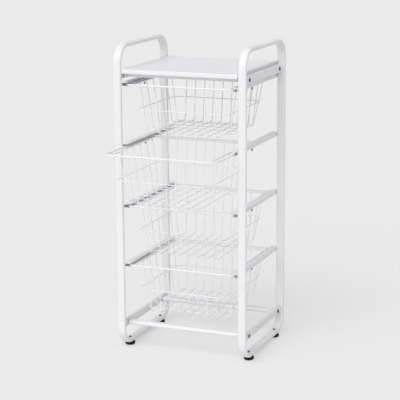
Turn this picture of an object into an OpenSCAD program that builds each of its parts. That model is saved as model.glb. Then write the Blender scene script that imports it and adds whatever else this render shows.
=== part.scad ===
// Bathroom storage tower: two bent-tube side loops joined by rails and crossbars,
// a top board, four pairs of sheet runners and four welded wire baskets that slide.
// X is the width, Y the depth with the front at -Y, and Z the height above the floor.

/* [Overall] */
// Width across the two side loops
tower_w = 404; // [380:1:480]
// Depth across the posts
tower_d = 340; // [320:1:400]
// Rise of the handles' top above the top board
handle_rise = 70; // [62:1:120]

/* [Frame tube] */
// Long side of the flat-oval tube
tube_w = 25; // [22:0.5:30]
// Short side of the flat-oval tube
tube_t = 12.5; // [11:0.25:15]
// Wall of the tube
tube_wall = 1.2; // [0.8:0.1:2]
// Centre-line radius of the bends in the side loops
bend_r = 50; // [40:1:60]

/* [Rails and crossbars] */
// Gap between a side loop's bottom run and the rail above it
rail_rise = 41.75; // [35:0.25:60]
// Distance from the posts' outer faces to the middle of a crossbar
crossbar_inset = 44; // [38:1:60]
// Thickness of the plastic plugs' flanges at the crossbars' ends
plug_flange = 1.5; // [1:0.1:3]
// Length of the plugs inside the crossbars
plug_len = 20; // [16:1:30]
// Gap between a plug and the bore of its tube
plug_gap = 0.1; // [0.05:0.05:0.3]

/* [Top board] */
// Thickness of the board
board_t = 12.5; // [10:0.5:18]
// Distance of the board's front and back edges behind the posts' outer faces
board_setback = 2; // [0:0.5:10]
// Gap between the board's side edges and the side rails
board_side_gap = 7.25; // [2:0.25:12]
// Radius of the board's corners
board_corner_r = 3; // [1:0.5:8]
// Distance of the board screws from the middle of the tower
board_screw_x = 120; // [60:1:150]
// Depth of the board screws in the board
board_screw_bite = 9; // [5:0.5:9]

/* [Runners] */
// Width of a runner's flanges
runner_w = 18; // [15:0.5:22]
// Height of a runner over its two flanges
runner_h = 12; // [11:0.5:16]
// Thickness of the runners' sheet
sheet_t = 1.2; // [0.8:0.1:1.5]
// Outer radius of the runners' folds
fold_r = 1.8; // [1.6:0.1:2.5]
// Distance of the runners' ends behind the posts' outer faces
runner_setback = 0.5; // [0:0.5:4]
// Running gap between a basket's rim and the flange that carries it
ride_gap = 0.3; // [0.2:0.05:0.6]
// Gap between the top runners and the top side rails
runner_gap = 5.6; // [3:0.1:12]
// Distance of the pegs under the runners behind the posts' front faces
peg_back = 143; // [120:1:170]
// Diameter of a peg
peg_d = 5.5; // [4.5:0.25:6]
// Length of a peg below its runner
peg_len = 12; // [8:0.5:14]
// Diameter of the pegs' necks in the runners
peg_neck_d = 3.5; // [3:0.25:4]

/* [Baskets] */
// Height of a basket from the middle of its rim wire to its lowest wire
basket_h = 143; // [120:1:170]
// Gap between a basket and the rim of the one below it
basket_gap = 33.7; // [28:0.1:60]
// Gap between the lowest basket and the bottom crossbars
base_gap = 34.5; // [20:0.5:60]
// Play between a basket's rim and the web of a runner
side_play = 6.8; // [5:0.1:8]
// Distance of the front rim wire behind the posts' front faces
rim_setback = 11; // [6:0.5:20]
// How far the second basket from the top is drawn out
drawn_out = 145; // [0:5:200]
// Thickness of the rim wire
rim_wire_d = 5; // [4:0.25:6]
// Thickness of the side wires and the rear wire that carry the body
side_wire_d = 4; // [3.5:0.25:5]
// Thickness of the body's wires
body_wire_d = 2.5; // [2:0.25:3.25]
// Corner radius of the rim
rim_corner_r = 10; // [7:0.5:16]
// Distance of the side wires inside the rim
side_wire_inset = 18.5; // [17:0.5:26]
// Distance of the rear wire in front of the rim
rear_wire_inset = 26.5; // [15:0.5:40]
// How much each wall leans in from top to bottom
wall_taper = 20; // [8:0.5:30]
// Radius of the bends at the foot of the walls
wire_bend_r = 6; // [5:0.5:16]
// Number of front-to-back body wires
long_wires = 8; // [6:1:10]
// Spacing of the front-to-back body wires
long_pitch = 29.4; // [22:0.2:30]
// Number of side-to-side body wires in front of the leaning rear one
cross_wires = 5; // [3:2:5]
// Spacing of the side-to-side body wires
cross_pitch = 45; // [36:1:50]
// Distance of the leaning rear wire in front of the wire that carries the rear wall
corner_wire_inset = 17; // [12:0.5:22]
// How much the leaning rear wire's legs lean in at the sides
corner_lean_x = 26; // [20:0.5:32]
// How much the leaning rear wire leans forwards
corner_lean_y = 17; // [12:0.5:18]
// Depth of the ring round the walls below the rim
ring_depth = 72; // [50:1:95]
// Corner radius of the ring
ring_corner_r = 30; // [26:0.5:32]
// How far welded wires are pressed into each other
weld = 0.2; // [0.1:0.05:0.4]
// How much further a wire's end runs into the wire that it is welded to
end_bite = 1; // [0.8:0.1:1.2]

/* [Feet] */
// Height of a foot pad
foot_h = 9.5; // [7:0.5:12]
// Diameter of a foot pad
foot_d = 30; // [24:1:34]
// Distance of the feet from the posts' outer faces
foot_inset = 60; // [55:1:90]
// Diameter of the foot bolts
foot_bolt_d = 5; // [4.5:0.5:6]
// Diameter of the foot bolts' heads
foot_head_d = 8; // [7.5:0.5:12]
// Height of the foot bolts' heads
foot_head_h = 3; // [2:0.5:5]
// Rubber left under a foot bolt's end
foot_floor = 1.5; // [1:0.25:2.5]
// Width of the slope round a pad's sole
sole_slope = 3; // [1:0.5:4]
// Width of the slope round a pad's top
pad_slope = 1.5; // [1:0.5:4]
// Gap between a pad and the loop above it
pad_gap = 0.1; // [0.05:0.05:0.3]

/* [Screws] */
// Diameter of the screws through the side rails
frame_screw_d = 6; // [5:0.5:7]
// Diameter of their heads
frame_head_d = 10.5; // [9:0.5:12]
// Height of their heads
frame_head_h = 3; // [2:0.25:4]
// Reach of the screws inside the crossbars' plugs
frame_screw_bite = 16; // [10:1:16]
// Diameter of the runner and board screws
small_screw_d = 4; // [3:0.25:4.5]
// Diameter of their heads
small_head_d = 6.5; // [6:0.25:8.5]
// Height of their heads
small_head_h = 1.8; // [1.5:0.1:3]
// Reach of a runner screw behind the runner's web
runner_screw_bite = 12; // [6:1:16]
// Gap around a screw in a hole that it only passes through
pass_gap = 0.25; // [0.15:0.05:0.4]
// Gap around a thread in the piece that it holds in
thread_gap = 0.05; // [0.03:0.01:0.1]

/* [Hidden] */
$fn = 48;
LEVELS = 4;
DRAWN_LEVEL = 2;

LEFT = -1;
RIGHT = 1;
FRONT = -1;
REAR = 1;
CUT = 1;

// A bend is a hair thicker than its bar, and the straight stretches run a little way into it
BEND_EASE = 0.02;
BEND_LAP = 0.3;

// Side loops, seen as rectangles of centre lines in the plane of X = loop_x
loop_x = tower_w / 2 - tube_w / 2;
post_y = tower_d / 2 - tube_t / 2;
post_inner_x = tower_w / 2 - tube_w;
loop_bottom_z = foot_h + tube_t / 2;

// Levels, worked up from the floor
bottom_rail_z = foot_h + tube_t + rail_rise + tube_w / 2;
level_pitch = basket_h + basket_gap;
lowest_rim_z = bottom_rail_z + tube_t / 2 + base_gap + basket_h;
top_rim_z = lowest_rim_z + (LEVELS - 1) * level_pitch;
runner_below = rim_wire_d / 2 + ride_gap + sheet_t;
top_rail_z = top_rim_z - runner_below + runner_h + runner_gap + tube_w / 2;
board_z = top_rail_z + tube_t / 2;
tower_h = board_z + board_t + handle_rise;
loop_top_z = tower_h - tube_t / 2;

// Rails and crossbars
rail_inner_x = loop_x - tube_t / 2;
rail_outer_x = loop_x + tube_t / 2;
rail_len = tower_d - 2 * tube_t;
crossbar_y = tower_d / 2 - crossbar_inset;
crossbar_len = 2 * (rail_inner_x - plug_flange);

// Runners and the screws that hold them
web_inner_x = post_inner_x - sheet_t;
runner_len = tower_d - 2 * runner_setback;
runner_mid_z = runner_h / 2 - runner_below;
peg_x = web_inner_x - (runner_w - sheet_t) / 2;

// Baskets, with the middle of the rim wire at Z = 0
rim_x = web_inner_x - side_play - rim_wire_d / 2;
front_y = -tower_d / 2 + rim_setback;
rear_y = tower_d / 2 - rim_wire_d / 2;
side_wire_x = rim_x - side_wire_inset;
rear_wire_y = rear_y - rear_wire_inset;
body_mid_y = (front_y + rear_wire_y) / 2;
body_half_y = (rear_wire_y - front_y) / 2;
wire_step = body_wire_d - weld;
cross_depth = basket_h - body_wire_d / 2;
long_depth = cross_depth - wire_step;
butt = weld + end_bite;

// The front of the drawn basket and the back of the posts are as far from Y = 0
front_reach = max(tower_d / 2, drawn_out - front_y + rim_wire_d / 2);
centre_shift = (front_reach - tower_d / 2) / 2;

function rim_z(level) = top_rim_z - (level - 1) * level_pitch;
function drawn(level) = level == DRAWN_LEVEL ? drawn_out : 0;

// ---- Shapes that repeat ----

// Flat oval, its long side along X
module oval(long_side, short_side) {
    square([long_side - short_side, short_side], center = true);
    for (end = [-1, 1])
        translate([end * (long_side - short_side) / 2, 0]) circle(d = short_side);
}

// Rectangle with round corners, from circles and squares only
module rounded_rectangle(width, depth, corner_r) {
    square([width - 2 * corner_r, depth], center = true);
    square([width, depth - 2 * corner_r], center = true);
    for (x = [-1, 1], y = [-1, 1])
        translate([x * (width / 2 - corner_r), y * (depth / 2 - corner_r)]) circle(r = corner_r);
}

// Solid flat-oval bar bent into a closed rectangle in the XY plane, its long side along Z
module bent_loop(half_x, half_y, long_side, short_side) {
    straight_x = half_x - bend_r;
    straight_y = half_y - bend_r;
    for (side = [-1, 1]) {
        translate([side * half_x, -straight_y - BEND_LAP, 0]) rotate([-90, 0, 0])
            linear_extrude(2 * (straight_y + BEND_LAP)) rotate(90) oval(long_side, short_side);
        translate([-straight_x - BEND_LAP, side * half_y, 0]) rotate([0, 90, 0])
            linear_extrude(2 * (straight_x + BEND_LAP)) oval(long_side, short_side);
    }
    for (x = [0, 1], y = [0, 1]) mirror([x, 0, 0]) mirror([0, y, 0])
        translate([straight_x, straight_y, 0]) rotate_extrude(angle = 90)
            translate([bend_r, 0]) rotate(90)
                oval(long_side + 2 * BEND_EASE, short_side + 2 * BEND_EASE);
}

// Straight tube along X with open ends
module straight_tube(length) {
    translate([-length / 2, 0, 0]) rotate([90, 0, 90]) difference() {
        linear_extrude(length) oval(tube_w, tube_t);
        translate([0, 0, -CUT])
            linear_extrude(length + 2 * CUT) oval(tube_w - 2 * tube_wall, tube_t - 2 * tube_wall);
    }
}

// Round bar along X, from x_start towards +X
module bar_x(x_start, length, d) {
    translate([x_start, 0, 0]) rotate([0, 90, 0]) cylinder(d = d, h = length);
}

// Domed screw head on the plane Z = 0, with its shank below
module screw(head_d, head_h, shank_d, shank_len) {
    rim_h = head_h * 0.35;
    cylinder(d = head_d, h = rim_h);
    translate([0, 0, rim_h]) cylinder(d1 = head_d, d2 = head_d * 0.6, h = head_h - rim_h);
    translate([0, 0, -shank_len]) cylinder(d = shank_d, h = shank_len + rim_h / 2);
}

// ---- Frame ----

module placed() {
    translate([0, centre_shift, 0]) children();
}

module foot_places(side) {
    for (end = [FRONT, REAR])
        translate([side * loop_x, end * (tower_d / 2 - foot_inset), 0]) children();
}

module runner_screw_places(side, level) {
    for (end = [FRONT, REAR])
        translate([side * web_inner_x, end * post_y, rim_z(level) + runner_mid_z])
            rotate([0, -side * 90, 0]) children();
}

module peg_place(side, level) {
    translate([side * peg_x, peg_back - tower_d / 2, rim_z(level) - runner_below]) children();
}

module side_loop(side) {
    half_y = post_y;
    half_z = (loop_top_z - loop_bottom_z) / 2;
    color("white") placed() difference() {
        translate([side * loop_x, 0, loop_bottom_z + half_z]) rotate([90, 0, 90])
            difference() {
                bent_loop(half_y, half_z, tube_w, tube_t);
                bent_loop(half_y, half_z, tube_w - 2 * tube_wall, tube_t - 2 * tube_wall);
            }
        foot_places(side)
            cylinder(d = foot_bolt_d + 2 * pass_gap, h = foot_h + tube_t + CUT);
        for (level = [1:LEVELS])
            runner_screw_places(side, level)
                translate([0, 0, -sheet_t - 2 * tube_wall - CUT])
                    cylinder(d = small_screw_d + 2 * thread_gap, h = 2 * tube_wall + 2 * CUT);
    }
}

module side_rail(side, middle_z) {
    color("white") placed() translate([side * loop_x, 0, middle_z]) difference() {
        rotate([0, 0, 90]) rotate([90, 0, 0]) straight_tube(rail_len);
        for (end = [FRONT, REAR])
            translate([0, end * crossbar_y, 0])
                bar_x(-tube_t, 2 * tube_t, frame_screw_d + 2 * pass_gap);
    }
}

module crossbar(end, middle_z, carries_board) {
    color("white") placed() translate([0, end * crossbar_y, middle_z]) difference() {
        straight_tube(crossbar_len);
        if (carries_board)
            for (x = [-1, 1])
                translate([x * board_screw_x, 0, -tube_t])
                    cylinder(d = small_screw_d + 2 * pass_gap, h = 2 * tube_t);
    }
}

module crossbar_end_places() {
    for (side = [LEFT, RIGHT], end = [FRONT, REAR], middle_z = [bottom_rail_z, top_rail_z])
        placed() translate([side * rail_inner_x, end * crossbar_y, middle_z])
            rotate([0, side * 90, 0]) children();
}

module crossbar_plugs() {
    plug_w = tube_w - 2 * (tube_wall + plug_gap);
    plug_t = tube_t - 2 * (tube_wall + plug_gap);
    color("dimgray") crossbar_end_places() difference() {
        union() {
            translate([0, 0, -plug_flange]) linear_extrude(plug_flange) rotate(90)
                oval(tube_w, tube_t);
            translate([0, 0, -plug_flange - plug_len]) linear_extrude(plug_len + plug_flange / 2)
                rotate(90) oval(plug_w, plug_t);
        }
        translate([0, 0, -plug_flange - plug_len - CUT])
            cylinder(d = frame_screw_d + 2 * thread_gap, h = plug_flange + plug_len + 2 * CUT);
    }
}

module frame_screws() {
    color("dimgray") crossbar_end_places() translate([0, 0, tube_t])
        screw(frame_head_d, frame_head_h, frame_screw_d, tube_t + plug_flange + frame_screw_bite);
}

module top_board() {
    board_w = 2 * (rail_inner_x - board_side_gap);
    board_d = tower_d - 2 * board_setback;
    color("ghostwhite") placed() difference() {
        translate([0, 0, board_z]) linear_extrude(board_t)
            rounded_rectangle(board_w, board_d, board_corner_r);
        for (x = [-1, 1], end = [FRONT, REAR])
            translate([x * board_screw_x, end * crossbar_y, board_z - CUT])
                cylinder(d = small_screw_d + 2 * thread_gap, h = board_screw_bite + CUT);
    }
}

module board_screws() {
    color("dimgray") placed()
        for (x = [-1, 1], end = [FRONT, REAR])
            translate([x * board_screw_x, end * crossbar_y, top_rail_z - tube_t / 2])
                mirror([0, 0, 1])
                    screw(small_head_d, small_head_h, small_screw_d, tube_t + board_screw_bite);
}

// Channel section in XY: the web along Y at X = 0 and the flanges towards +X
module channel_section() {
    inner_r = fold_r - sheet_t;
    difference() {
        folded_end(runner_w, runner_h, fold_r);
        translate([sheet_t, 0]) folded_end(runner_w, runner_h - 2 * sheet_t, inner_r);
    }
}

// Half-open block from X = 0 with round corners at X = 0 only
module folded_end(width, height, corner_r) {
    translate([corner_r, -height / 2]) square([width - corner_r, height]);
    translate([0, -height / 2 + corner_r]) square([width, height - 2 * corner_r]);
    for (y = [-1, 1])
        translate([corner_r, y * (height / 2 - corner_r)]) circle(r = corner_r);
}

module runner(side, level) {
    color("white") placed() difference() {
        translate([side * post_inner_x, 0, rim_z(level) + runner_mid_z])
            mirror([side == RIGHT ? 1 : 0, 0, 0]) rotate([90, 0, 0])
                translate([0, 0, -runner_len / 2]) linear_extrude(runner_len) channel_section();
        runner_screw_places(side, level) translate([0, 0, -sheet_t - CUT])
            cylinder(d = small_screw_d + 2 * pass_gap, h = sheet_t + 2 * CUT);
        peg_place(side, level) translate([0, 0, -CUT])
            cylinder(d = peg_neck_d + 2 * thread_gap, h = sheet_t + 2 * CUT);
    }
}

module runner_screws() {
    color("dimgray") placed()
        for (side = [LEFT, RIGHT], level = [1:LEVELS])
            runner_screw_places(side, level)
                screw(small_head_d, small_head_h, small_screw_d, sheet_t + runner_screw_bite);
}

// Pegs that hang from the runners' lower flanges, their necks flush with the flanges' tops
module runner_pegs() {
    tip_h = peg_d / 4;
    color("dimgray") placed()
        for (side = [LEFT, RIGHT], level = [1:LEVELS])
            peg_place(side, level) {
                translate([0, 0, tip_h - peg_len]) cylinder(d = peg_d, h = peg_len - tip_h);
                translate([0, 0, -peg_len]) cylinder(d1 = peg_d / 2, d2 = peg_d, h = tip_h);
                translate([0, 0, -tip_h]) cylinder(d = peg_neck_d, h = tip_h + sheet_t);
            }
}

module foot_bolts() {
    color("dimgray") placed() for (side = [LEFT, RIGHT])
        foot_places(side) translate([0, 0, foot_h + tube_t])
            screw(foot_head_d, foot_head_h, foot_bolt_d, foot_h + tube_t - foot_floor);
}

// Round pad, wider in the middle, with a threaded socket from above
module foot(side, end) {
    half = foot_d / 2;
    pad_h = foot_h - pad_gap;
    color("dimgray") placed()
        translate([side * loop_x, end * (tower_d / 2 - foot_inset), 0]) difference() {
            rotate_extrude() polygon([
                [0, 0], [half - sole_slope, 0], [half, sole_slope],
                [half, pad_h - pad_slope], [half - pad_slope, pad_h], [0, pad_h]
            ]);
            translate([0, 0, foot_floor])
                cylinder(d = foot_bolt_d + 2 * thread_gap, h = foot_h);
        }
}

// ---- Baskets ----

module basket_at(level) {
    color("white") placed() translate([0, -drawn(level), rim_z(level)]) children();
}

// Round wire bent into a closed rectangle in the XY plane
module wire_rectangle(half_x, half_y, corner_r, d) {
    straight_x = half_x - corner_r;
    straight_y = half_y - corner_r;
    for (side = [-1, 1]) {
        translate([side * half_x, -straight_y - BEND_LAP, 0]) rotate([-90, 0, 0])
            cylinder(d = d, h = 2 * (straight_y + BEND_LAP));
        translate([0, side * half_y, 0])
            bar_x(-straight_x - BEND_LAP, 2 * (straight_x + BEND_LAP), d);
    }
    for (x = [0, 1], y = [0, 1]) mirror([x, 0, 0]) mirror([0, y, 0])
        translate([straight_x, straight_y, 0]) rotate_extrude(angle = 90)
            translate([corner_r, 0]) circle(d = d + 2 * BEND_EASE);
}

// Wire bent into a trough in the XZ plane, hanging from Z = -top_gap, with legs that lean in
module trough_wire(top_half, bottom_half, depth, top_gap) {
    lean = atan2(top_half - bottom_half, depth);
    tangent = wire_bend_r * tan((90 - lean) / 2);
    bend_x = bottom_half - tangent;
    bend_z = wire_bend_r - depth;
    foot_x = bend_x + wire_bend_r * cos(lean);
    foot_z = bend_z - wire_bend_r * sin(lean);
    leg_len = (-top_gap - foot_z) / cos(lean);
    translate([0, 0, -depth]) bar_x(-bend_x - BEND_LAP, 2 * (bend_x + BEND_LAP), body_wire_d);
    for (side = [0, 1]) mirror([side, 0, 0]) {
        translate([bend_x, 0, bend_z]) rotate([90, 0, 0]) rotate(-90)
            rotate_extrude(angle = 90 - lean) translate([wire_bend_r, 0])
                circle(d = body_wire_d + 2 * BEND_EASE);
        translate([foot_x, 0, foot_z]) rotate([0, lean, 0]) translate([0, 0, -BEND_LAP])
            cylinder(d = body_wire_d, h = leg_len + BEND_LAP);
    }
}

module basket_rim(level) {
    basket_at(level) translate([0, (front_y + rear_y) / 2, 0])
        wire_rectangle(rim_x, (rear_y - front_y) / 2, rim_corner_r, rim_wire_d);
}

module basket_side_wires(level) {
    wire_start = front_y + rim_wire_d / 2 - butt;
    wire_end = rear_y - rim_wire_d / 2 + butt;
    basket_at(level) {
        for (side = [LEFT, RIGHT])
            translate([side * side_wire_x, wire_end, 0]) rotate([90, 0, 0])
                cylinder(d = side_wire_d, h = wire_end - wire_start);
        translate([0, rear_wire_y, 0]) bar_x(-side_wire_x, 2 * side_wire_x, side_wire_d);
    }
}

module basket_long_wires(level) {
    first_x = -(long_wires - 1) / 2 * long_pitch;
    basket_at(level)
        for (i = [0:long_wires - 1])
            translate([first_x + i * long_pitch, body_mid_y, 0]) rotate([0, 0, 90])
                trough_wire(body_half_y, body_half_y - wall_taper, long_depth,
                            side_wire_d / 2 - butt);
}

module basket_cross_wires(level) {
    first_y = body_mid_y - (cross_wires - 1) / 2 * cross_pitch;
    tilt = atan2(corner_lean_y, cross_depth);
    basket_at(level) {
        for (i = [0:cross_wires - 1])
            translate([0, first_y + i * cross_pitch, 0])
                trough_wire(side_wire_x, side_wire_x - wall_taper, cross_depth,
                            side_wire_d / 2 - butt);
        translate([0, body_mid_y + REAR * (body_half_y - corner_wire_inset), 0])
            rotate([-REAR * tilt, 0, 0])
                trough_wire(side_wire_x, side_wire_x - corner_lean_x,
                            cross_depth / cos(tilt), side_wire_d / 2 - butt);
    }
}

module basket_ring(level) {
    half_x = side_wire_x - wall_taper * ring_depth / cross_depth + wire_step;
    half_y = body_half_y - wall_taper * ring_depth / long_depth + wire_step;
    basket_at(level) translate([0, body_mid_y, -ring_depth])
        wire_rectangle(half_x, half_y, ring_corner_r, body_wire_d);
}

// ---- Pieces ----

side_loop(LEFT);  // left_side_loop
side_loop(RIGHT);  // right_side_loop
side_rail(LEFT, top_rail_z);  // left_top_rail
side_rail(RIGHT, top_rail_z);  // right_top_rail
side_rail(LEFT, bottom_rail_z);  // left_bottom_rail
side_rail(RIGHT, bottom_rail_z);  // right_bottom_rail
crossbar(FRONT, top_rail_z, true);  // front_top_crossbar
crossbar(REAR, top_rail_z, true);  // rear_top_crossbar
crossbar(FRONT, bottom_rail_z, false);  // front_bottom_crossbar
crossbar(REAR, bottom_rail_z, false);  // rear_bottom_crossbar
crossbar_plugs();
top_board();
frame_screws();
board_screws();
runner_screws();
runner_pegs();
foot_bolts();
foot(LEFT, FRONT);  // foot_front_left
foot(RIGHT, FRONT);  // foot_front_right
foot(LEFT, REAR);  // foot_rear_left
foot(RIGHT, REAR);  // foot_rear_right
for (level = [1:LEVELS]) {
    runner(LEFT, level);
    runner(RIGHT, level);
    basket_rim(level);
    basket_side_wires(level);
    basket_long_wires(level);
    basket_cross_wires(level);
    basket_ring(level);
}
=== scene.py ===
"""Looks of a bathroom storage tower: painted tube frame, laminate top and four wire baskets."""

import math

import bpy
from mathutils import Matrix, Vector


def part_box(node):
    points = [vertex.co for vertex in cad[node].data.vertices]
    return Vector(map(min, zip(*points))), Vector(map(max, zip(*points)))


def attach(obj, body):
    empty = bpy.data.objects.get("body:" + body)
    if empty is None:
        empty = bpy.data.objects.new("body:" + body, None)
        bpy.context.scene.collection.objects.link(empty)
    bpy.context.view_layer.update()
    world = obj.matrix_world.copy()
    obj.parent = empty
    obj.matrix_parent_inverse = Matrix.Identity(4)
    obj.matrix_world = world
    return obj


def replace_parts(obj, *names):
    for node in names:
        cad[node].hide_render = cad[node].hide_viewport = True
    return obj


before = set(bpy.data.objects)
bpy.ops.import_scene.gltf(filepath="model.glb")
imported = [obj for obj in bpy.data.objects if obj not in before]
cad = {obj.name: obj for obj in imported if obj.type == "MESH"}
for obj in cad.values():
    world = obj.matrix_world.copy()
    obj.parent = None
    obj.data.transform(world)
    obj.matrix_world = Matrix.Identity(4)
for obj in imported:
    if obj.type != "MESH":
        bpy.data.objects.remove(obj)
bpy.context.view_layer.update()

# ---- Camera ----
# A long lens from the tower's right and a little above, as in the photograph. It looks
# down far enough to show the top board, and leans by a fraction of a degree.
camera_place = Vector((1.5058, -3.5949, 1.3436))
heading, tilt, lean = math.radians(22.424), math.radians(12.931), -0.0061
ahead = Vector((-math.sin(heading) * math.cos(tilt), math.cos(heading) * math.cos(tilt), -math.sin(tilt)))
level = Vector((math.cos(heading), math.sin(heading), 0))
above = level.cross(ahead)
across = level * math.cos(lean) + above * math.sin(lean)
upward = above * math.cos(lean) - level * math.sin(lean)
camera = bpy.data.objects.new("camera", bpy.data.cameras.new("camera"))
camera.matrix_world = Matrix.Translation(camera_place) @ Matrix((across, upward, -ahead)).transposed().to_4x4()
camera.data.sensor_width = 36
camera.data.lens = 123.86
camera.data.clip_end = 100
bpy.context.scene.collection.objects.link(camera)
bpy.context.scene.camera = camera

# ---- Side loops ----
# One flat-oval steel tube for each side, bent into a closed upright rectangle, with
# satin white powder coat. The coat has a fine orange peel and is a touch uneven.


def new_material(name):
    """An empty node material and its Principled shader."""
    material = bpy.data.materials.new(name)
    material.use_nodes = True
    return material, material.node_tree.nodes["Principled BSDF"]


def link(tree, *pairs):
    """Joins each first socket to its second one."""
    for source, target in pairs:
        tree.links.new(source, target)


def noise_node(tree, where, scale, detail):
    """Noise over the piece's own coordinates, its scale a socket in bumps per metre."""
    node = tree.nodes.new("ShaderNodeTexNoise")
    node.inputs["Detail"].default_value = detail
    link(tree, (scale, node.inputs["Scale"]), (where, node.inputs["Vector"]))
    return node


def spread(tree, value, low, high):
    """Stretches the middle of a noise to the range from low to high."""
    node = tree.nodes.new("ShaderNodeMapRange")
    node.inputs["From Min"].default_value = 0.3
    node.inputs["From Max"].default_value = 0.7
    for name, end in (("To Min", low), ("To Max", high)):
        if isinstance(end, (int, float)):
            node.inputs[name].default_value = end
        else:
            tree.links.new(end, node.inputs[name])
    tree.links.new(value, node.inputs["Value"])
    return node.outputs["Result"]


def new_effect(name, inputs, outputs):
    """A shader node group with named sockets, and its two end nodes."""
    group = bpy.data.node_groups.new(name, "ShaderNodeTree")
    for label, kind, value in inputs:
        socket = group.interface.new_socket(label, in_out="INPUT", socket_type=kind)
        socket.default_value = value
    for label, kind in outputs:
        group.interface.new_socket(label, in_out="OUTPUT", socket_type=kind)
    return group, group.nodes.new("NodeGroupInput"), group.nodes.new("NodeGroupOutput")


def surface_effect(name):
    """Fine relief, patches of a second tone and uneven gloss, for paint, plastic and plated steel."""
    colour, number, vector = "NodeSocketColor", "NodeSocketFloat", "NodeSocketVector"
    group, given, made = new_effect(
        name,
        [("Tone", colour, (0.8, 0.8, 0.8, 1)), ("Second Tone", colour, (0.7, 0.7, 0.7, 1)),
         ("Patches per Metre", number, 20), ("Relief per Metre", number, 600),
         ("Relief Strength", number, 0.1), ("Least Roughness", number, 0.3),
         ("Most Roughness", number, 0.4)],
        [("Color", colour), ("Roughness", number), ("Normal", vector)])
    place = group.nodes.new("ShaderNodeTexCoord").outputs["Object"]
    patches = noise_node(group, place, given.outputs["Patches per Metre"], 4)
    relief = noise_node(group, place, given.outputs["Relief per Metre"], 2)
    tones = group.nodes.new("ShaderNodeMix")
    tones.data_type = "RGBA"
    bump = group.nodes.new("ShaderNodeBump")
    bump.inputs["Distance"].default_value = 0.0002
    link(group,
         (spread(group, patches.outputs["Fac"], 0, 1), tones.inputs["Factor"]),
         (given.outputs["Tone"], tones.inputs[6]),
         (given.outputs["Second Tone"], tones.inputs[7]),
         (tones.outputs[2], made.inputs["Color"]),
         (spread(group, relief.outputs["Fac"], given.outputs["Least Roughness"],
                 given.outputs["Most Roughness"]), made.inputs["Roughness"]),
         (relief.outputs["Fac"], bump.inputs["Height"]),
         (given.outputs["Relief Strength"], bump.inputs["Strength"]),
         (bump.outputs["Normal"], made.inputs["Normal"]))
    return group


fine_surface = surface_effect("fine surface")


def finish_with(name, tone, second_tone, patches, relief, strength, roughness):
    """A material whose colour, gloss and relief come from the fine surface effect."""
    material, shader = new_material(name)
    tree = material.node_tree
    surface = tree.nodes.new("ShaderNodeGroup")
    surface.node_tree = fine_surface
    values = {"Tone": (*tone, 1), "Second Tone": (*second_tone, 1), "Patches per Metre": patches,
              "Relief per Metre": relief, "Relief Strength": strength,
              "Least Roughness": roughness[0], "Most Roughness": roughness[1]}
    for socket, value in values.items():
        surface.inputs[socket].default_value = value
    link(tree, *((surface.outputs[n], shader.inputs[s]) for n, s in
                 (("Color", "Base Color"), ("Roughness", "Roughness"), ("Normal", "Normal"))))
    return material, shader


def dress(material, *names):
    """Puts a material on carried-over nodes of the frame."""
    for name in names:
        mesh = cad[name].data
        mesh.materials.clear()
        mesh.materials.append(material)


frame_paint, frame_shader = finish_with(
    "frame powder coat", (0.80, 0.80, 0.815), (0.78, 0.78, 0.797), 18, 520, 0.10, (0.42, 0.52))
frame_shader.inputs["Specular IOR Level"].default_value = 0.3
dress(frame_paint, "left_side_loop", "right_side_loop")

# ---- Side rails ----
# The same tube on edge between the two posts of a loop, one under the top board and
# one above the floor. Each end is welded all round to the post, then painted over.
weld_radius = 0.0011
weld_sides = 8
weld_step = weld_radius * 0.45
ripple_length, ripple_depth = 0.0017, 0.12


def mesh_piece(name, points, faces, material, body):
    """A smooth-shaded piece that rides on a body."""
    mesh = bpy.data.meshes.new(name)
    mesh.from_pydata(points, [], faces)
    mesh.polygons.foreach_set("use_smooth", [True] * len(mesh.polygons))
    mesh.materials.append(material)
    mesh.update()
    piece = bpy.data.objects.new(name, mesh)
    bpy.context.scene.collection.objects.link(piece)
    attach(piece, body)
    return piece


def oval_outline(wide, high, step):
    """Points round a flat oval that stands on edge, with the outward direction at each."""
    end_r, flat = wide / 2, high - wide
    length = 2 * flat + 2 * math.pi * end_r
    found = []
    for k in range(round(length / step)):
        s = k * step
        if s < flat:
            point, out = (end_r, s - flat / 2), (1, 0)
        elif s < flat + math.pi * end_r:
            a = (s - flat) / end_r
            out = (math.cos(a), math.sin(a))
            point = (end_r * out[0], flat / 2 + end_r * out[1])
        elif s < 2 * flat + math.pi * end_r:
            point, out = (-end_r, flat / 2 - (s - flat - math.pi * end_r)), (-1, 0)
        else:
            a = math.pi + (s - 2 * flat - math.pi * end_r) / end_r
            out = (math.cos(a), math.sin(a))
            point = (end_r * out[0], -flat / 2 + end_r * out[1])
        found.append((point, out))
    return found


def ring_faces(rings, around, first, closed):
    """Quads between rings of points that follow each other in a list."""
    last = rings if closed else rings - 1
    return [tuple(first + p for p in (
        k * around + i, k * around + (i + 1) % around,
        (k + 1) % rings * around + (i + 1) % around, (k + 1) % rings * around + i))
        for k in range(last) for i in range(around)]


points, faces = [], []
for rail in ("left_top_rail", "right_top_rail", "left_bottom_rail", "right_bottom_rail"):
    low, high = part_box(rail)
    middle = (low + high) / 2
    for end_y in (low.y, high.y):
        outline = oval_outline(high.x - low.x, high.z - low.z, weld_step)
        first = len(points)
        for k, ((x, z), (out_x, out_z)) in enumerate(outline):
            ripple = 1 + ripple_depth * math.sin(k * weld_step / ripple_length * 2 * math.pi)
            for i in range(weld_sides):
                a = i * 2 * math.pi / weld_sides
                out = weld_radius * ripple * math.cos(a)
                points.append((middle.x + x + out_x * out, end_y + weld_radius * math.sin(a),
                               middle.z + z + out_z * out))
        faces += ring_faces(len(outline), weld_sides, first, True)
dress(frame_paint, "left_top_rail", "right_top_rail", "left_bottom_rail", "right_bottom_rail")
mesh_piece("rail_welds", points, faces, frame_paint, "frame")

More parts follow.
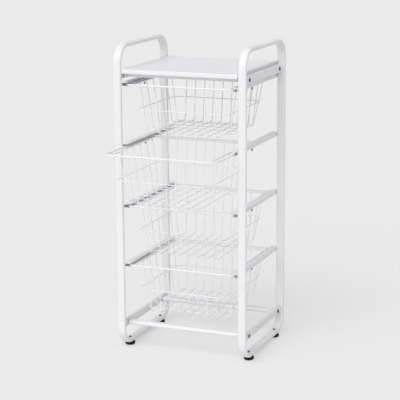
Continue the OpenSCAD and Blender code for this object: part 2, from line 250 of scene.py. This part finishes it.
# ---- Crossbars ----
# The same tube lying flat between the side rails, two at the top and two at the
# bottom. A plastic plug fills each end, and its flange shows as a thin dark line.
crossbars = ("front_top", "rear_top", "front_bottom", "rear_bottom")
dress(frame_paint, *(f"{bar}_crossbar" for bar in crossbars))
plug_plastic, _ = finish_with(
    "plug plastic", (0.035, 0.035, 0.038), (0.028, 0.028, 0.03), 60, 1400, 0.2, (0.45, 0.6))
dress(plug_plastic, "crossbar_plugs")

# ---- Frame screws ----
# Black button-head screws with a hexagon socket, one through a side rail into the
# plug at each crossbar end. The heads are blackened steel with a dull sheen.
screw_sides = 96


def disc(radius):
    """Round outline."""
    return lambda angle: radius


def hexagon(across_flats):
    """Outline of a hexagon socket."""
    return lambda angle: across_flats / 2 / math.cos((angle + math.pi / 6) % (math.pi / 3) - math.pi / 6)


def cross(length, width):
    """Outline of a cross recess, its four arms of that length and width over all."""
    def outline(angle):
        a = abs((angle + math.pi / 4) % (math.pi / 2) - math.pi / 4)
        return min(length / 2 / math.cos(a), width / 2 / max(math.sin(a), 1e-4))
    return outline


def turned(stations, place, sides):
    """Points and faces of a turned piece, closed at both ends, each station an outline and a height."""
    made = []
    for outline, height in stations:
        for i in range(sides):
            a = i * 2 * math.pi / sides
            r = outline(a)
            made.append(tuple(place @ Vector((r * math.cos(a), r * math.sin(a), height))))
    faces = ring_faces(len(stations), sides, 0, False)
    faces.append(tuple(reversed(range(sides))))
    faces.append(tuple(range((len(stations) - 1) * sides, len(stations) * sides)))
    return made, faces


def several(name, stations, places, material, body, sides=screw_sides):
    """One piece made of the same turned shape at several places."""
    points, faces = [], []
    for place in places:
        more, rings = turned(stations, place, sides)
        faces += [tuple(len(points) + i for i in f) for f in rings]
        points += more
    piece = mesh_piece(name, points, faces, material, body)
    piece.data.set_sharp_from_angle(angle=math.radians(38))
    return piece


def dome(radius, top_radius, height, steps, start=0.0):
    """Stations of a domed head from its rim up to the flat at its top."""
    found = []
    for k in range(steps + 1):
        a = k / steps * math.pi / 2
        found.append((disc(top_radius + (radius - top_radius) * math.cos(a)), start + (height - start) * math.sin(a)))
    return found


def button_head(radius, flat_radius, height, socket, socket_floor, drill_floor):
    """Stations of a domed head with a hexagon socket, whose mouth is chamfered and whose floor is drilled."""
    return [(disc(radius), 0), (disc(radius), 0.0004), *dome(radius, flat_radius, height, 8, 0.0007),
            (hexagon(socket + 0.0002), height), (hexagon(socket), height - 0.0002),
            (hexagon(socket), socket_floor), (disc(0.0003), drill_floor)]


def shank(radius, length, chamfer=0.0008):
    """Stations of a round shank below a head, with a chamfer at its end."""
    return [(disc(radius - chamfer), -length), (disc(radius), -length + chamfer), (disc(radius), 0)]


black_steel, steel_shader = finish_with(
    "blackened steel", (0.085, 0.085, 0.09), (0.125, 0.125, 0.132), 380, 2600, 0.08, (0.34, 0.5))
steel_shader.inputs["Metallic"].default_value = 0.35


def facing(point, direction):
    """Placement that turns a piece's own Z to a direction."""
    return Matrix.Translation(point) @ direction.to_track_quat("Z", "Y").to_matrix().to_4x4()


frame_screw = shank(0.003, 0.030) + button_head(0.00525, 0.0028, 0.003, 0.004, 0.0012, 0.0006)
screw_places = []
for side in ("left", "right"):
    for bar in crossbars:
        low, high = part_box(f"{side}_{bar.split('_')[1]}_rail")
        bar_low, bar_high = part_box(f"{bar}_crossbar")
        middle = (bar_low + bar_high) / 2
        out = 1 if side == "right" else -1
        face_x = high.x if side == "right" else low.x
        screw_places.append(facing(Vector((face_x, middle.y, middle.z)), Vector((out, 0, 0))))
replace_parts(several("frame_button_screws", frame_screw, screw_places, black_steel, "frame"),
            "frame_screws")

# ---- Top board ----
# White melamine on particle board, lying on the two top crossbars, with a thin edge
# band glued round it. Both faces have a fine pearl grain; a hairline marks the joint.
corner_r = 0.003
band_t = 0.0005
band_rows = 2
groove = 0.00012


def board_outline(low, high, inset, corner_steps=6):
    """Points round the board at that inset from its edge."""
    r = max(corner_r - inset, 0.0002)
    found = []
    for corner, (sx, sy) in enumerate(((1, 1), (-1, 1), (-1, -1), (1, -1))):
        centre_x = (high.x if sx > 0 else low.x) - sx * (inset + r)
        centre_y = (high.y if sy > 0 else low.y) - sy * (inset + r)
        for k in range(corner_steps + 1):
            a = (corner + k / corner_steps) * math.pi / 2
            found.append((centre_x + r * math.cos(a), centre_y + r * math.sin(a)))
    return found


low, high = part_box("top_board")
edge = [(0.02, 0), (band_t + groove, 0), (band_t, groove), (band_t - groove, 0), (0.0004, 0),
        (0.00012, 0.00012), (0, 0.0004)]
profile = [(inset, low.z + rise) for inset, rise in edge]
profile += [(inset, high.z - rise) for inset, rise in reversed(edge)]
points, faces = [], []
for inset, z in profile:
    outline = board_outline(low, high, inset)
    points += [(x, y, z) for x, y in outline]
around = len(outline)
faces = ring_faces(len(profile), around, 0, False)
faces.append(tuple(reversed(range(around))))
faces.append(tuple(range((len(profile) - 1) * around, len(profile) * around)))
laminate, _ = finish_with(
    "pearl laminate", (0.785, 0.785, 0.807), (0.77, 0.77, 0.795), 26, 900, 0.14, (0.38, 0.5))
edge_band, _ = finish_with(
    "edge band", (0.81, 0.81, 0.82), (0.795, 0.795, 0.808), 40, 1100, 0.06, (0.3, 0.38))
board = mesh_piece("laminate_board", points, faces, laminate, "frame")
board.data.materials.append(edge_band)
for face in board.data.polygons:
    if band_rows <= face.index // around <= len(profile) - 2 - band_rows:
        face.material_index = 1
board.data.set_sharp_from_angle(angle=math.radians(30))
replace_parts(board, "top_board")

# ---- Board screws ----
# Four small zinc-plated pan-head screws with a cross recess that come up through the
# top crossbars into the board. They show only from below.
pan_r, pan_h = 0.00325, 0.0018
pan_head = [(disc(pan_r), 0), (disc(pan_r), 0.0004), *dome(pan_r, 0.002, pan_h, 6, 0.0005),
            (cross(0.0036, 0.001), pan_h), (cross(0.0026, 0.0007), 0.0006)]
small_screw_r, screw_point = 0.002, 0.0012
board_screw_length, board_screw_x = 0.0215, 0.12
zinc_steel, zinc_shader = finish_with(
    "zinc-plated steel", (0.74, 0.74, 0.76), (0.62, 0.62, 0.645), 300, 2200, 0.05, (0.3, 0.48))
zinc_shader.inputs["Metallic"].default_value = 0.35
board_places = []
for bar in ("front_top_crossbar", "rear_top_crossbar"):
    low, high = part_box(bar)
    for x in (-board_screw_x, board_screw_x):
        board_places.append(facing(Vector((x, (low.y + high.y) / 2, low.z)), Vector((0, 0, -1))))
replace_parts(several("board_pan_screws", shank(small_screw_r, board_screw_length, screw_point) + pan_head,
                    board_places, zinc_steel, "frame"), "board_screws")

# ---- Runners ----
# Folded sheet-steel channels, one pair for each basket, painted with the frame's coat.
# They open inwards, and a small zinc-plated pan-head screw holds each end to a post.
runner_names = [f"runner_{n}_{side}" for n in (1, 2, 3, 4) for side in ("left", "right")]
dress(frame_paint, *runner_names)
runner_sheet = 0.0012
post_middle = 0.00625
runner_setback = 0.0005
runner_screw_length = 0.0132
runner_places = []
for name in runner_names:
    low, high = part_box(name)
    web_x, inward = (low.x + runner_sheet, 1) if name.endswith("left") else (high.x - runner_sheet, -1)
    for y in (low.y - runner_setback + post_middle, high.y + runner_setback - post_middle):
        runner_places.append(facing(Vector((web_x, y, (low.z + high.z) / 2)), Vector((inward, 0, 0))))
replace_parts(several("runner_pan_screws", shank(small_screw_r, runner_screw_length, screw_point) + pan_head,
                    runner_places, zinc_steel, "frame", sides=64), "runner_screws")

# ---- Runner pegs ----
# A grey moulded plastic peg under the lower flange of each runner, its neck pressed into
# the flange. It has a collar, a shallow waist and a tapered tip.
peg_back = 0.143
collar, waist, neck = disc(0.00275), disc(0.00245), disc(0.00175)
peg_places = []
for name in runner_names:
    low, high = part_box(name)
    peg_x = (low.x + runner_sheet + high.x) / 2 if name.endswith("left") else (low.x + high.x - runner_sheet) / 2
    peg_places.append(Matrix.Translation((peg_x, low.y - runner_setback + peg_back, low.z)))
peg = [(disc(0.0008), -0.012), (disc(0.0016), -0.0118), (disc(0.00265), -0.0104), (collar, -0.0098),
       (collar, -0.0088), (waist, -0.0085), (waist, -0.0034), (collar, -0.0031), (collar, -0.0003),
       (disc(0.0026), 0), (neck, 0), (neck, runner_sheet - 0.0001), (disc(0.0016), runner_sheet)]
peg_plastic, _ = finish_with(
    "peg plastic", (0.35, 0.35, 0.36), (0.31, 0.31, 0.318), 60, 1400, 0.2, (0.4, 0.55))
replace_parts(several("runner_plastic_pegs", peg, peg_places, peg_plastic,
                    "frame", sides=48), "runner_pegs")

# ---- Foot bolts ----
# Black button-head bolts down through the bottom runs of the loops. Their heads stay
# on top of the tube and the pads screw onto their ends from below.
feet = ("foot_front_left", "foot_front_right", "foot_rear_left", "foot_rear_right")
tube_height = 0.0125
foot_bolt = shank(0.0025, 0.0205, 0.0007) + button_head(0.004, 0.0021, 0.003, 0.003, 0.0014, 0.0009)
loop_low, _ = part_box("left_side_loop")
bolt_places = []
for foot in feet:
    low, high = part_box(foot)
    bolt_places.append(Matrix.Translation(((low.x + high.x) / 2, (low.y + high.y) / 2, loop_low.z + tube_height)))
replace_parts(several("foot_button_bolts", foot_bolt, bolt_places, black_steel, "frame"), "foot_bolts")

# ---- Foot pads ----
# Black moulded pads that turn on the bolts to level the tower: a dished sole, a rim
# with a shallow groove above it and a matt pebbled skin.
pad_rubber, pad_shader = finish_with(
    "foot pad plastic", (0.007, 0.007, 0.0075), (0.011, 0.011, 0.0115), 120, 1500, 0.35, (0.55, 0.72))
pad_shader.inputs["Specular IOR Level"].default_value = 0.25
sole_and_groove = ((0.0055, 0.0006), (0.0046, 0), (0.0033, 0), (0.0026, 0.0004), (0.0004, 0.0027),
                   (0, 0.0033), (0, 0.0043), (0.0005, 0.0046), (0.0005, 0.0050), (0, 0.0053))
round_top = ((0, 0.0017), (0.0004, 0.0009), (0.0014, 0.0002), (0.0026, 0))
bolt_hole_r = 0.0027
for foot in feet:
    low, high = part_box(foot)
    half, tall = (high.x - low.x) / 2, high.z - low.z
    pad = [(disc(half - inset), rise) for inset, rise in sole_and_groove]
    pad += [(disc(half - inset), tall - fall) for inset, fall in round_top] + [(disc(bolt_hole_r), tall)]
    place = Matrix.Translation(((low.x + high.x) / 2, (low.y + high.y) / 2, low.z))
    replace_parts(several(f"{foot}_pad", pad, [place], pad_rubber, foot, sides=72), foot)

# ---- Baskets ----
# Drawn steel wire, bent and spot-welded wherever two wires cross, then powder-coated
# as one. The coat rounds off each weld into a small flat nugget between the wires.
basket_paint, basket_shader = finish_with(
    "basket powder coat", (0.83, 0.83, 0.845), (0.80, 0.80, 0.82), 45, 700, 0.08, (0.28, 0.38))
basket_shader.inputs["Coat Weight"].default_value = 0.15
basket_shader.inputs["Coat Roughness"].default_value = 0.22
wire_parts = ("rim", "side_wires", "long_wires", "cross_wires", "ring")
rim_r, wire_r = 0.0025, 0.00125
body_half, side_x = 0.150, 0.148
grid_z, ring_z = -0.1406, -0.072
long_x = [(i - 3.5) * 0.0294 for i in range(8)]
cross_y = [(i - 2) * 0.045 for i in range(5)]
rear_wire_y, rear_leg_y = 0.116, 0.133
ring_x, ring_y = 0.139, 0.1408
ring_corner_x, ring_corner_y = 0.1359, 0.1249
bead_sink = 0.0004
bead_t, bead_rows, bead_sides = 0.0008, 4, 10


def nugget(points, faces, centre, normal, wide):
    """A flat round bead, its short way along the normal."""
    place = facing(centre, normal)
    first = len(points)
    for row in range(1, bead_rows + 1):
        a = row * math.pi / (bead_rows + 1)
        for i in range(bead_sides):
            b = i * 2 * math.pi / bead_sides
            points.append(tuple(place @ Vector((wide * math.sin(a) * math.cos(b), wide * math.sin(a) * math.sin(b),
                                                bead_t * math.cos(a)))))
    faces += ring_faces(bead_rows, bead_sides, first, False)
    faces.append(tuple(first + i for i in range(bead_sides)))
    last = first + (bead_rows - 1) * bead_sides
    faces.append(tuple(last + i for i in reversed(range(bead_sides))))


for n in (1, 2, 3, 4):
    dress(basket_paint, *(f"basket_{n}_{part}" for part in wire_parts))
    low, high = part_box(f"basket_{n}_rim")
    front, rear, rim_z = low.y + rim_r, high.y - rim_r, (low.z + high.z) / 2
    middle = front + body_half
    down, back, aside = Vector((0, 0, 1)), Vector((0, 1, 0)), Vector((1, 0, 0))
    ends = (-1, 1)
    spots = [((x, y, grid_z), down) for x in long_x for y in (*cross_y, rear_wire_y)]
    spots += [((x, end * ring_y, ring_z), back) for x in long_x for end in ends]
    spots += [((side * ring_x, y, ring_z), aside) for y in cross_y for side in ends]
    spots += [((side * ring_corner_x, ring_corner_y, ring_z), Vector((side * 2, 1, 0))) for side in ends]
    spots += [((x, end * (body_half - bead_sink), -0.0024), down) for x in long_x for end in ends]
    spots += [((side * (side_x - bead_sink), y, -0.0021), down) for y in (*cross_y, rear_leg_y) for side in ends]
    points, faces = [], []
    for (x, y, z), normal in spots:
        nugget(points, faces, Vector((x, middle + y, rim_z + z)), normal, wire_r + 0.0005)
    for side in ends:
        for y in (front + rim_r, rear - rim_r):
            nugget(points, faces, Vector((side * side_x, y, rim_z)), back, 0.0026)
        nugget(points, faces, Vector((side * (side_x - 0.002), middle + body_half, rim_z)), aside, 0.0025)
    mesh_piece(f"basket_{n}_welds", points, faces, basket_paint, f"basket_{n}")

# ---- Floor and light ----
# A plain pale floor that runs out of sight, a wide soft light from the front and above, a
# low one from the front, and even light all round. Seen directly or in a reflection, the
# floor is half a lit backdrop, so that the shadow on it stays faint.


def seen_share(tree, share):
    """That share for camera, glossy and transmission rays, and nothing for diffuse ones."""
    rays = tree.nodes.new("ShaderNodeLightPath")
    found = rays.outputs["Is Camera Ray"]
    for kind, operation in (("Is Glossy Ray", "MAXIMUM"), ("Is Transmission Ray", "MAXIMUM"), (None, "MULTIPLY")):
        step = tree.nodes.new("ShaderNodeMath")
        step.operation = operation
        step.inputs[1].default_value = share
        tree.links.new(found, step.inputs[0])
        if kind:
            tree.links.new(rays.outputs[kind], step.inputs[1])
        found = step.outputs[0]
    return found


reach = 60
pale = (0.84, 0.84, 0.84, 1)
floor_corners = [(-reach, -reach, 0), (reach, -reach, 0), (reach, reach, 0), (-reach, reach, 0)]
floor_mesh = bpy.data.meshes.new("floor")
floor_mesh.from_pydata(floor_corners, [], [(0, 1, 2, 3)])
floor = bpy.data.objects.new("floor", floor_mesh)
bpy.context.scene.collection.objects.link(floor)
floor_paint, floor_shader = new_material("floor")
floor_shader.inputs["Base Color"].default_value = pale
floor_shader.inputs["Roughness"].default_value = 0.9
floor_shader.inputs["Specular IOR Level"].default_value = 0
floor_tree = floor_paint.node_tree
glow = floor_tree.nodes.new("ShaderNodeEmission")
glow.inputs["Color"].default_value = pale
floor_mix = floor_tree.nodes.new("ShaderNodeMixShader")
link(floor_tree,
     (seen_share(floor_tree, 0.5), floor_mix.inputs["Fac"]),
     (floor_shader.outputs[0], floor_mix.inputs[1]),
     (glow.outputs[0], floor_mix.inputs[2]),
     (floor_mix.outputs[0], floor_tree.nodes["Material Output"].inputs["Surface"]))
floor_mesh.materials.append(floor_paint)

for name, energy, wide, direction in (
        ("front softbox", 1.75, 50, (0.12, 1, -1.05)), ("low front fill", 0.30, 60, (-0.3, 1, -0.14))):
    lamp = bpy.data.objects.new(name, bpy.data.lights.new(name, "SUN"))
    lamp.data.energy = energy
    lamp.data.angle = math.radians(wide)
    lamp.rotation_mode = "QUATERNION"
    lamp.rotation_quaternion = Vector(direction).to_track_quat("-Z", "Y")
    bpy.context.scene.collection.objects.link(lamp)

world = bpy.data.worlds.new("room")
bpy.context.scene.world = world
world.use_nodes = True
room = world.node_tree
around_light = room.nodes["Background"]
around_light.inputs["Color"].default_value = (1, 1, 1, 1)
around_light.inputs["Strength"].default_value = 0.55
backdrop = room.nodes.new("ShaderNodeBackground")
backdrop.inputs["Color"].default_value = pale
either = room.nodes.new("ShaderNodeMixShader")
link(room,
     (seen_share(room, 1), either.inputs["Fac"]),
     (around_light.outputs[0], either.inputs[1]),
     (backdrop.outputs[0], either.inputs[2]),
     (either.outputs[0], room.nodes["World Output"].inputs["Surface"]))
bpy.context.scene.view_settings.view_transform = "Standard"
